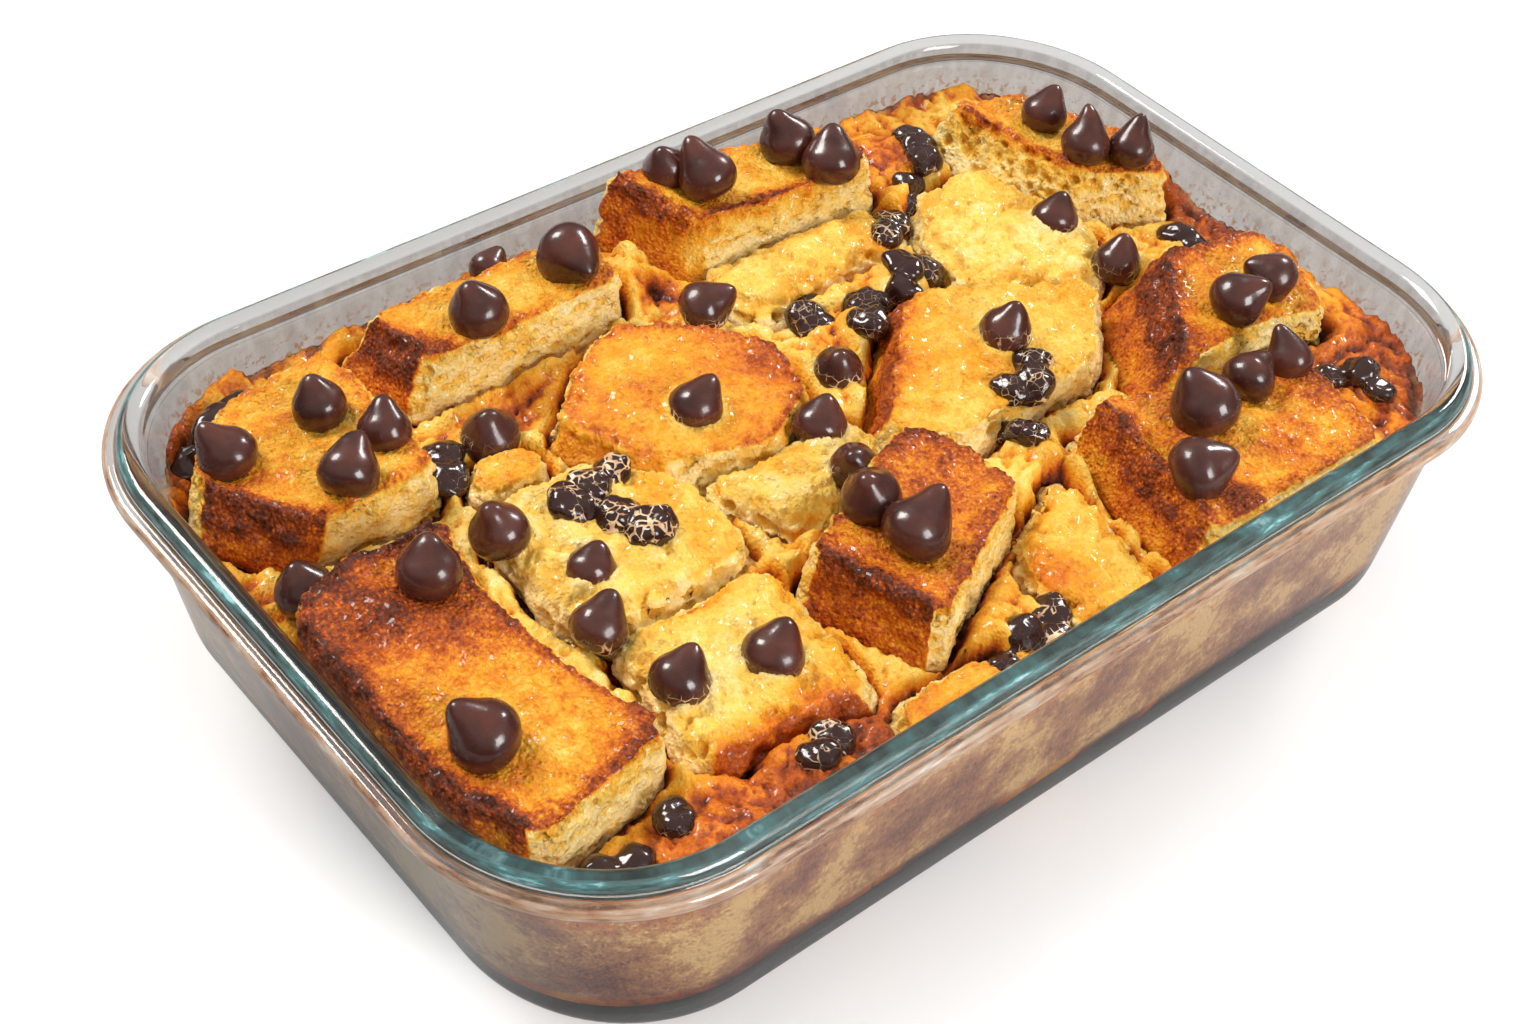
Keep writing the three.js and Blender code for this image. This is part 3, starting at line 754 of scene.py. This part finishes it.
def custard_body(finish, slices):
    outset = -WALL + GLASS_BITE
    pick()
    half_x, half_y, _ = wall_size(FILL_LEVEL, outset)
    cells_x, cells_y = round(2 * half_x / CUSTARD_CELL), round(2 * half_y / CUSTARD_CELL)
    bpy.ops.mesh.primitive_grid_add(x_subdivisions=cells_x, y_subdivisions=cells_y, size=2)
    piece = bpy.context.object
    piece.name = piece.data.name = "custard_body"
    flat = points_of(piece) * MM
    u, v = flat[:, 0], flat[:, 1]
    x, y = in_outline(u, v, FILL_LEVEL, outset)
    z = custard_height(x, y)
    for bump_x, bump_y, radius, height in CUSTARD_BUMPS:
        z += height * spread(np.hypot(x - bump_x, y - bump_y), radius)
    points = np.stack([x, y, z], 1)
    away, _ = beyond_wall(points, outset)
    skins = np.zeros(len(x))
    for skin_x, skin_y, radius_x, radius_y, extra in CUSTARD_SKINS:
        skins += extra * np.exp(-(((x - skin_x) / radius_x) ** 2 + ((y - skin_y) / radius_y) ** 2) ** 2)
    over, gap = slice_heights(slices, x, y)
    tucked = spread(gap, TUCK_WIDTH)
    lumps = lump_heights(x, y) * smoothstep(0.2, 2.0, gap) * (1 - 1.6 * np.minimum(skins, 0.3))
    z += lumps - TUCK * tucked
    z += WALL_RISE * np.exp(away / WALL_RISE_WIDTH)
    z = np.where(np.isfinite(over), np.minimum(z, over - UNDER_SLICE), z)
    for drop_x, drop_y, radius, bottom in drop_places():
        under = np.hypot(x - drop_x, y - drop_y) < radius + 1
        z = np.where(under, np.minimum(z, bottom + INTO_DROP), z)
    move_points(piece, np.stack([x, y, z], 1))
    relief(piece, 7, 1.6, rise="Z", detail=1)
    relief(piece, 4.5, -1.3, rise="Z", kind="MUSGRAVE", detail=3, middle=0.3)
    relief(piece, 2.0, 1.2, rise="Z", detail=2)
    relief(piece, 1.4, 0.45, rise="Z", kind="VORONOI", middle=1, hole=0.42)

    # Painted shade: the custard is browned more along the crevices beside the slices and in its hollows,
    # and its base level is set darker, partly for the shade between the slices.
    heights = points_of(piece)[:, 2].reshape(cells_y + 1, cells_x + 1)
    hollow = (blurred(heights, 3) - heights).ravel()
    wall = 0.3 * np.exp(away / 3)
    paint(piece, "browning_and_shade", 0.19 + 0.4 * tucked + skins + wall + 0.36 * np.clip(hollow, -0.25, 1.1))
    paint(piece, "pores", np.zeros(len(x)))

    side = np.maximum(np.abs(u), np.abs(v)) > 1 - 1e-6
    places = {tuple(piece.data.vertices[int(i)].co): (u[i], v[i]) for i in np.flatnonzero(side)}
    pick(piece)
    bpy.ops.object.mode_set(mode="EDIT")
    mesh = bmesh.from_edit_mesh(piece.data)
    bpy.ops.mesh.select_mode(type="EDGE")
    bpy.ops.mesh.select_all(action="DESELECT")
    for edge in mesh.edges:
        edge.select_set(len(edge.link_faces) == 1)
    bottom = FLOOR + FLOOR_FILLET
    levels = [(28.0, 0), (20.0, 0), (bottom, 0)]
    for step in range(1, 7):
        angle = math.radians(90 * step / 6)
        drop = (FLOOR_FILLET + GLASS_BITE) * math.sin(angle)
        levels.append((bottom - drop, FLOOR_FILLET * (1 - math.cos(angle))))
    for height, inset in levels:
        bpy.ops.mesh.extrude_region_move()
        mesh = bmesh.from_edit_mesh(piece.data)
        fresh = [vert for vert in mesh.verts if vert.select]
        given = np.array([places[tuple(vert.co)] for vert in fresh])
        new_x, new_y = in_outline(given[:, 0], given[:, 1], height, outset - inset)
        places = {}
        for vert, a, b, pair in zip(fresh, new_x, new_y, given):
            vert.co = Vector((a, b, height)) * MM
            places[tuple(vert.co)] = tuple(pair)
    bpy.ops.mesh.edge_face_add()
    bpy.ops.mesh.select_all(action="SELECT")
    bpy.ops.mesh.normals_make_consistent(inside=False)
    bpy.ops.object.mode_set(mode="OBJECT")

    points = points_of(piece)
    away, _ = beyond_wall(points, outset)
    paint(piece, "against_glass", smoothstep(-1.2, -0.2, away) * smoothstep(35, 33.5, points[:, 2]))
    pick(piece)
    bpy.ops.object.shade_smooth()
    finish_piece(piece, finish, "custard", "custard")
    return piece


# ---------------------------------------------------------------- the bread

# How each slice looks. Headings are compass angles of its sides, in degrees. "spots" are browner (or paler)
# places and "bumps" raised (or sunken) ones: X, Y and radius in millimetres, and an amount.
SLICES = {
    "bread_left_back": {
        "finish": "toasted", "top": 0.28, "crusts": [221], "ridges": [221, 170],
        "spots": [(-88, 30, 6, 0.16), (-70, 46, 8, -0.06), (-66, 36, 6, 0.08), (-78, 44, 6, 0.06)],
        "bumps": [(-93, 37, 5, 1.0), (-76, 34, 9, -0.8)],
    },
    "bread_left_front": {
        "finish": "toasted", "top": 0.40, "crusts": [180], "ridges": [180, 90], "rim": 0.30,
        "spots": [(-83, -4, 7, 0.16), (-77, -12, 6, 0.10), (-90, 2, 7, 0.24), (-76, 4, 6, 0.12),
                  (-72, -32, 9, -0.10), (-80, -40, 7, -0.04), (-84, -22, 8, -0.08)],
        "bumps": [(-82, -20, 14, -0.8), (-68, 8, 4, 0.8)],
    },
    "bread_back_left": {
        "finish": "toasted", "top": 0.29, "crusts": [180], "ridges": [180], "rim": 0.14,
        "spots": [(-48, 41, 5, 0.28), (-30, 50, 9, -0.05), (-14, 42, 5, 0.1)],
        "bumps": [(-50, 40, 5, 0.8), (-28, 48, 10, -0.6)],
    },
    "bread_back_mid": {
        "finish": "toasted", "top": 0.26, "crusts": [202], "crust": 0.38, "ridges": [202, 268], "rim": 0.14,
        "spots": [(0, 58, 6, 0.26), (46, 42, 5, 0.28), (22, 44, 10, 0.06), (12, 44, 5, 0.14)],
        "bumps": [(-1, 60, 6, 2.2), (46, 42, 6, 1.6), (22, 47, 11, -1.6)],
    },
    "bread_right_back": {
        "finish": "toasted", "top": 0.30, "ridges": [194], "rim": 0.12,
        "spots": [(88, 12, 8, 0.2), (80, 28, 7, -0.08), (92, 24, 6, 0.1)],
        "bumps": [(70, 44, 5, 0.8), (82, 30, 8, -0.8)],
    },
    "bread_right": {
        "finish": "toasted", "top": 0.35, "crusts": [142], "ridges": [142, 79], "rim": 0.12,
        "spots": [(54, -26, 6, 0.1), (68, -12, 6, 0.16), (74, -26, 8, -0.06), (84, -28, 5, 0.06)],
        "bumps": [(68, -9, 5, 1.4), (72, -24, 9, -0.8)],
    },
    "bread_front_right": {
        "finish": "toasted", "top": 0.40, "crusts": [171], "crust": 0.40, "ridges": [171], "rim": 0.12,
        "spots": [(68, -46, 6, 0.14), (62, -36, 4, 0.1), (34, -58, 4, 0.26), (44, -50, 9, -0.06)],
        "bumps": [(31, -30, 5, 1.0), (48, -48, 12, -0.7)],
    },
    "bread_front_mid": {
        "finish": "toasted", "top": 0.43, "crusts": [201], "ridges": [201], "rim": 0.14,
        "spots": [(4, -17, 7, 0.22), (0, -30, 6, 0.06), (-22, -36, 6, 0.05), (-10, -44, 6, -0.05)],
        "bumps": [(-28, -29, 5, 1.0), (-8, -32, 10, -0.8)],
    },
    "bread_centre_left": {
        "finish": "golden", "top": 0.34, "crusts": [198], "ridges": [30, 320], "rim": 0.10,
        "spots": [(-2, 12, 7, 0.14), (-10, 24, 6, 0.08), (-28, 2, 8, -0.12), (-22, 24, 7, -0.06)],
        "bumps": [(-16, 14, 10, 0.8)],
    },
    "bread_centre_right": {
        "finish": "golden", "top": 0.16, "crusts": [133], "ridges": [133], "rim": 0.06,
        "spots": [(14, -4, 8, 0.2), (24, 6, 6, 0.14), (38, -12, 9, -0.06), (50, -8, 6, 0.06),
                  (27, -12, 7, 0.16)],
        "bumps": [(30, 0, 9, 0.8)],
    },
    "bread_centre_low": {
        "finish": "soaked", "top": 0.08, "rim": 0.04,
        "spots": [(-14, -8, 5, 0.1)], "bumps": [(-12, -13, 7, 0.8)],
    },
    "bread_left_mid": {
        "finish": "soaked", "top": 0.10, "rim": 0.04,
        "spots": [(-36, -12, 5, 0.16), (-36, -2, 4, 0.22), (-52, 8, 6, -0.04)],
        "bumps": [(-48, 0, 9, 0.9), (-40, -12, 6, 0.5)],
    },
    "bread_left_low": {
        "finish": "soaked", "top": 0.12, "crusts": [262], "ridges": [262], "rim": 0.12,
        "spots": [(-40, -46, 7, 0.2), (-50, -30, 8, -0.04), (-47, -20, 6, 0.22)],
        "bumps": [(-46, -36, 10, 0.6)],
    },
    "bread_front_scrap": {
        "finish": "golden", "top": 0.24, "rim": 0.1,
        "spots": [(-30, -58, 5, 0.1)],
    },
    "bread_front_soaked": {
        "finish": "soaked", "top": 0.18, "rim": 0.1,
        "spots": [(4, -50, 5, 0.2), (14, -40, 6, -0.04)], "bumps": [(10, -50, 8, 0.8)],
    },
    "bread_right_soaked": {
        "finish": "soaked", "top": 0.10, "rim": 0.06,
        "spots": [(66, 20, 6, 0.08), (50, 30, 5, 0.1)], "bumps": [(56, 16, 9, 1.0)],
    },
    "bread_back_soaked": {
        "finish": "soaked", "top": 0.12, "rim": 0.06,
        "spots": [(36, 30, 6, 0.14)], "bumps": [(22, 32, 7, 0.8)],
    },
    "bread_left_scrap": {
        "finish": "golden", "top": 0.2, "rim": 0.1,
    },
}


def top_plane(piece):
    """The plane of the largest face that looks up: its height at the origin and its slopes."""
    face = max((f for f in piece.data.polygons if f.normal.z > 0.9), key=lambda f: f.area)
    slope = Vector((-face.normal.x, -face.normal.y)) / face.normal.z
    return face.center.z / MM - slope.dot(face.center.xy / MM), slope


def heading_of(normals):
    return np.degrees(np.arctan2(normals[:, 1], normals[:, 0]))


def facing(heading, wanted):
    """How well a side's heading matches the nearest of the wanted ones, from 0 to 1."""
    match = np.zeros_like(heading)
    for angle in wanted:
        gap = np.abs((heading - angle + 180) % 360 - 180)
        match = np.maximum(match, smoothstep(HEADING_SPREAD, HEADING_SPREAD * 0.55, gap))
    return match


def rim_of(points, normals, depth):
    """For each point, how far it is from the slice's upper rim and which way that side looks."""
    rim = np.flatnonzero((normals[:, 2] > 0.3) & (normals[:, 2] < 0.75) & (depth < 5))
    tree = KDTree(len(rim))
    for i in rim:
        tree.insert(points[i], int(i))
    tree.balance()
    nearest = [tree.find(point) for point in points]
    index = np.array([found[1] for found in nearest])
    return np.array([found[2] for found in nearest]), heading_of(normals[index])


def collars(points):
    """How high soft bread has crept up round the drops that it holds."""
    rise = np.zeros(len(points))
    for x, y, radius, bottom in drop_places():
        away = np.hypot(points[:, 0] - x, points[:, 1] - y)
        held = np.abs(points[:, 2] - bottom - 0.5) < COLLAR_REACH
        rise = np.maximum(rise, COLLAR_HEIGHT * held * spread(away - radius, COLLAR_WIDTH))
    return rise


def scattered(points, places):
    """What a list of X, Y, radius and amount adds up to at each point."""
    total = np.zeros(len(points))
    for x, y, radius, amount in places:
        total += amount * spread(np.hypot(points[:, 0] - x, points[:, 1] - y), radius)
    return total


def baked_slice(node_name, look, finishes):
    piece = copied(node_name, node_name.replace("bread", "slice"))
    base, slope = top_plane(piece)
    pick(piece)
    bpy.ops.object.mode_set(mode="EDIT")
    bpy.ops.mesh.select_all(action="SELECT")
    bpy.ops.mesh.bisect(
        plane_co=(0, 0, SLICE_FOOT * MM), plane_no=(0, 0, 1), use_fill=True, clear_inner=True,
    )
    bpy.ops.object.mode_set(mode="OBJECT")
    remeshed(piece, SLICE_VOXEL)
    smoothed(piece, 4)

    points, normals = points_of(piece), normals_of(piece)
    depth = base + points[:, :2] @ np.array(slope) - points[:, 2]
    edge, rim_heading = rim_of(points, normals, depth)
    top = smoothstep(0.5, 0.8, normals[:, 2])
    own_heading = heading_of(normals)
    crusts, ridges = look.get("crusts", []), look.get("ridges", [])
    crust = facing(np.where(top > 0.5, rim_heading, own_heading), crusts)
    ridge = facing(rim_heading, ridges) * spread(edge, RIDGE_WIDTH)
    rim = spread(edge, RIM_WIDTH)
    spots = scattered(points, look.get("spots", []))
    toasted, soaked = (look["finish"] == kind for kind in ("toasted", "soaked"))
    collar = (not toasted) * collars(points)

    above = np.clip(1 - depth / 8, 0, 1)
    lift = scattered(points, look.get("bumps", [])) + collar - (1.2 if soaked else 0) * rim
    lift = lift * above + (1.1 if toasted else 0.5) * ridge * above
    lift -= SHOULDER_DIP * spread(edge - SHOULDER, SHOULDER_WIDTH) * top

    on_top = look["top"] + look.get("rim", 0.14) * rim + (0.22 if toasted else 0.12) * ridge + spots
    crumb = look.get("rim", 0.14) * 1.6 * np.exp(-depth / 1.5)
    crumb += 0.34 * facing(own_heading, ridges) * np.exp(-depth / 3.4)
    baked = look.get("crust", 0.48 if toasted else 0.34) + 0.2 * ridge + 0.4 * spots
    on_side = mixed(crumb, baked, crust)
    browning_and_shade = np.minimum(mixed(on_side, on_top, top), DARKEST) * (1 - 0.9 * collar)
    rims = weigh(piece, "rim", np.maximum(rim, 0.3 * (1 - top)))
    upper = weigh(piece, "upper", top)
    pores = np.zeros(len(points))
    chance = random.Random(node_name)
    holes = np.flatnonzero((1 - top) * (1 - crust) * (depth > 1.2) * (depth < 12) > 0.5)
    for _ in range(len(holes) // PORE_EVERY):
        middle, size = points[chance.choice(holes)], PORE_SMALLEST + PORE_SPREAD * chance.random() ** 2
        offset = (points - middle) * (1, 1, 1.7)
        pores = np.maximum(pores, np.exp(-(np.sum(offset ** 2, 1) / size ** 2) ** 2))
    paint(piece, "pores", pores)
    points[:, 2] += lift
    points += normals * ((SWELL if soaked else 0) - PORE_DEPTH * pores)[:, None]
    move_points(piece, points)

    relief(piece, 9, 2.4 if soaked else 2.2)
    even = points_of(piece)
    if soaked:
        relief(piece, 5, -1.2, kind="MUSGRAVE", middle=0.3, detail=3)
    relief(piece, 3.0, 1.1, detail=2)
    relief(piece, 2.4, 1.5, rims, detail=2)
    relief(piece, 1.1, 0.7, rims, detail=1)
    relief(piece, 1.3, 0.35, upper, kind="VORONOI", middle=1, hole=0.45)
    raised = ((points_of(piece) - even) * normals).sum(1)
    # Toasted bread is browner on its raised bits; golden and soaked bread is made darker in its sunken
    # bits.
    paint(piece, "browning_and_shade", browning_and_shade + (0.16 if toasted else -0.08) * np.clip(raised, -0.7, 0.7))
    keep_inside(piece, -WALL + 0.2)
    pick(piece)
    bpy.ops.object.shade_smooth()
    finish_piece(piece, finishes[look["finish"]], look["finish"] + "_bread", node_name)
    return piece


# ---------------------------------------------------------------- the chocolate drops

# How each drop lies: the compass heading and tilt of its tip in degrees, its diameter in millimetres and
# its tip's reach as a share of that.
DROPS = [
    (130, 45, 9.3, 0.68), (125, 15, 9, 0.6), (40, 50, 9.5, 0.68), (60, 35, 8.5, 0.64), (170, 10, 9.5, 0.58),
    (140, 15, 9, 0.58), (60, 20, 10, 0.58), (140, 20, 9.5, 0.6), (135, 40, 10.4, 0.68), (140, 20, 10, 0.6),
    (-95, 75, 11, 0.68), (20, 60, 7, 0.64), (100, 45, 10.3, 0.74), (170, 20, 8, 0.6), (130, 25, 10, 0.64),
    (60, 30, 10.5, 0.64), (-30, 60, 9.5, 0.64), (-120, 15, 8.5, 0.58), (10, 40, 9, 0.68), (20, 30, 9, 0.6),
    (-20, 20, 9, 0.64), (20, 25, 9, 0.6), (20, 25, 9, 0.64), (15, 25, 8.5, 0.68), (30, 25, 9, 0.82),
    (25, 22, 8.5, 0.78), (-35, 50, 10, 0.64), (130, 65, 9, 0.64), (85, 35, 8, 0.75), (10, 60, 9, 0.6),
    (110, 35, 11.5, 0.6), (-30, 65, 10.5, 0.64), (175, 20, 9.5, 0.6), (5, 50, 10.5, 0.74),
    (-140, 20, 8, 0.6), (10, 35, 9, 0.64), (20, 40, 9.5, 0.64), (20, 50, 9, 0.64), (30, 40, 8, 0.6),
]
DROP_SINK = 1.1
# Drops that carry a net of baked custard, by number, and how much of it.
FILMED = {5: 0.3, 17: 0.45, 18: 0.4, 19: 0.6, 20: 0.5, 21: 0.45, 22: 0.35, 23: 0.45, 35: 0.6,
          36: 0.5, 37: 0.45, 38: 0.5, 39: 0.7}


def drop_outline(reach):
    """Radius and height along a drop's side, as shares of its diameter, from its base to its tip."""
    knots = np.array([
        (-0.3, -0.4), (0, -0.42), (0.32, -0.36), (0.48, -0.17), (0.5, 0.02), (0.45, 0.18),
        (0.33, 0.2 + 0.22 * reach), (0.18, 0.06 + 0.75 * reach), (0.075, 0.97 * reach), (0, reach),
        (-0.075, 0.97 * reach),
    ])
    line = []
    for i in range(1, len(knots) - 2):
        before, start, end, after = knots[i - 1:i + 3]
        for t in np.arange(0, 1, 0.25):
            line.append(0.5 * (2 * start + (end - before) * t
                               + (2 * before - 5 * start + 4 * end - after) * t ** 2
                               + (3 * start - before - 3 * end + after) * t ** 3))
    line.append(knots[-2])
    return np.array(line)


def chocolate_drop(number, finish):
    heading, tilt, diameter, reach = DROPS[number - 1]
    node = f"drop_{number:02d}"
    line = drop_outline(reach)
    pick()
    bpy.ops.mesh.primitive_uv_sphere_add(segments=36, ring_count=len(line) - 1, radius=1)
    piece = bpy.context.object
    piece.name = piece.data.name = f"chocolate_{node}"
    unit = points_of(piece) * MM
    row = np.round((1 - np.arccos(np.clip(unit[:, 2], -1, 1)) / math.pi) * (len(line) - 1)).astype(int)
    around = np.arctan2(unit[:, 1], unit[:, 0])
    radius, height = line[row, 0] * diameter, line[row, 1] * diameter
    tip = np.maximum(height / diameter - 0.2, 0)
    chance = random.Random(number)
    bend = chance.uniform(0, 2 * math.pi)
    curl = chance.uniform(0, 0.4) * diameter
    points = np.stack([
        radius * np.cos(around) * chance.uniform(0.97, 1.03) + curl * tip ** 2 * math.cos(bend),
        radius * np.sin(around) * chance.uniform(0.97, 1.03) + curl * tip ** 2 * math.sin(bend),
        height,
    ], 1)
    turn = Matrix.Rotation(math.radians(heading), 3, "Z") @ Matrix.Rotation(math.radians(tilt), 3, "Y")
    turn = turn @ Matrix.Rotation(chance.uniform(0, 2 * math.pi), 3, "Z")
    points = points @ np.array(turn).T
    low, high = (np.array(corner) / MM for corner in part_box(node))
    middle = (points.min(0) + points.max(0)) / 2
    points += np.array([(low[0] + high[0]) / 2, (low[1] + high[1]) / 2, high[2]])
    points -= np.array([middle[0], middle[1], points[:, 2].max() - high[2] + DROP_SINK])
    move_points(piece, points)
    amount = FILMED.get(number, 0)
    share = (points[:, 2] - points[:, 2].min()) / np.ptp(points[:, 2])
    paint(piece, "film", amount * smoothstep(0.72, 0.36, share))
    relief(piece, 5, 0.5)
    keep_inside(piece, -WALL)
    pick(piece)
    bpy.ops.object.shade_smooth()
    finish_piece(piece, finish, "chocolate", node)


# ---------------------------------------------------------------- the melted drops

# Melted drops, sunk into the pudding: X, Y, how many have run together, the heading they lie along, the
# width of each in millimetres, and how much custard clings to them.
MELTED = [
    (-83, 52, 3, 20, 8.5, 0.0), (-58, 25, 2, 40, 8, 0.2), (15, 21, 2, 90, 8.5, 0.3),
    (31, 16, 4, 15, 8, 0.15), (21, 12, 2, 60, 8, 0.3), (-44, 3, 3, 20, 8, 0.75),
    (-43, -6, 2, 80, 8, 0.75), (30, -15, 2, 40, 8, 0.45), (24, -21, 3, 50, 7.5, 0.35),
    (53, 37, 2, 100, 7.5, 0.2), (42, 31, 2, 60, 7.5, 0.6), (61, 45, 3, 70, 7, 0.2),
    (-3, -56, 2, 20, 9, 0.7), (-12, -57, 2, 0, 7, 0.2), (-47, -56, 2, 30, 7, 0.5),
    (-71, -52, 1, 0, 7, 0.2), (-82, -53, 2, -20, 8, 0.1), (73, -38, 2, 100, 7.5, 0.1),
    (80, -46, 3, 120, 7, 0.1), (86, -2, 2, 80, 7.5, 0.1),
]
MELT_SINK = 0.5
MELT_VOXEL = 0.38


def ground_under(pieces):
    """A function that gives the height of the highest of these pieces at a place."""
    graph = bpy.context.evaluated_depsgraph_get()
    trees = []
    for piece in pieces:
        points = points_of(piece)
        trees.append((points.min(0), points.max(0), BVHTree.FromObject(piece, graph)))

    def height(x, y):
        best = -math.inf
        for low, high, tree in trees:
            if low[0] < x < high[0] and low[1] < y < high[1] and high[2] > best:
                hit = tree.ray_cast((x * MM, y * MM, 0.1), (0, 0, -1))[0]
                if hit:
                    best = max(best, hit.z / MM)
        return best if best > FLOOR else FILL_LEVEL
    return height


def melted_cluster(number, spot, height):
    x, y, count, heading, width, film = spot
    chance = random.Random(100 + number)
    pick()
    parts = []
    for k in range(count):
        along = (k - (count - 1) / 2) * width * 0.6
        aside = chance.uniform(-0.25, 0.25) * width
        angle = math.radians(heading)
        place_x = x + along * math.cos(angle) - aside * math.sin(angle)
        place_y = y + along * math.sin(angle) + aside * math.cos(angle)
        size = width * chance.uniform(0.9, 1.2) / 2
        flat = chance.uniform(0.5, 0.68)
        rest = height(place_x, place_y) + size * flat * (1 - 2 * MELT_SINK)
        bpy.ops.mesh.primitive_ico_sphere_add(
            subdivisions=4, radius=size * MM, location=(place_x * MM, place_y * MM, rest * MM),
            scale=(1, chance.uniform(0.78, 1), flat),
            rotation=(chance.uniform(-0.3, 0.3), chance.uniform(-0.3, 0.3), chance.uniform(0, math.pi)),
        )
        parts.append(bpy.context.object)
    pick(*parts)
    if count > 1:
        bpy.ops.object.join()
    piece = bpy.context.object
    bpy.ops.object.transform_apply(location=True, rotation=True, scale=True)
    piece.name = f"melted_{number}"
    remeshed(piece, MELT_VOXEL)
    smoothed(piece, 5)
    relief(piece, 4, 1.9, detail=1)
    relief(piece, 3, -0.3, kind="MUSGRAVE", middle=0.3, detail=1)
    smoothed(piece, 3)
    level = points_of(piece)[:, 2]
    share = (level - level.min()) / np.ptp(level)
    paint(piece, "film", film * mixed(smoothstep(0.8, 0.45, share), 1, film))
    paint(piece, "melt", np.ones(len(piece.data.vertices)))
    keep_inside(piece, -WALL)
    return piece


def melted_chocolate(finish, height):
    pick(*[melted_cluster(number, spot, height) for number, spot in enumerate(MELTED, 1)])
    bpy.ops.object.join()
    piece = bpy.context.object
    piece.name = piece.data.name = "melted_chocolate"
    bpy.ops.object.shade_smooth()
    finish_piece(piece, finish, "chocolate")


# ---------------------------------------------------------------- the whole

camera()
studio()
glass_dish(glass_finish())
# The lip's tube: the glass's own teal, with painted light carried along the glass and painted cyan glints.
edge_tube("lip_core", (41.95, -1.25), (1.75, 3.0, 1.75), edge_finish("teal glass with painted glow and glints", [
    (0.36, tone(40, 56, 55)), (0.48, tone(72, 94, 91)),
    (0.60, tone(78, 128, 130)), (0.70, tone(170, 222, 224)),
], 1.0))
# The flange's tube: a painted reflection of the custard and the room, pale pink with white streaks.
edge_tube("flange_core", (40.0, 1.85), (1.2, 1.2, 1.3), edge_finish("painted flange reflection", [
    (0.36, tone(156, 104, 74)), (0.48, tone(214, 170, 136)),
    (0.6, tone(232, 206, 184)), (0.68, tone(250, 244, 238)),
], 0.6))
browned_and_shaded = browning_and_shade_effect()
bread_finishes = {
    "toasted": bread_finish("toasted bread", browned_and_shaded, 0.85, 0.5, 0.5, 0.5, 0.04),
    "golden": bread_finish("golden bread", browned_and_shaded, 0.5, 0.4, 0.8, 0.42, 0.08),
    "soaked": bread_finish("soaked bread", browned_and_shaded, 0.3, 0.3, 0.9, 0.34, 0.1),
}
slices = [baked_slice(name, look, bread_finishes) for name, look in SLICES.items()]
custard = custard_body(custard_finish(browned_and_shaded), slices)
chocolate = chocolate_finish()
for number in range(1, len(DROPS) + 1):
    chocolate_drop(number, chocolate)
melted_chocolate(chocolate, ground_under([custard, *slices]))
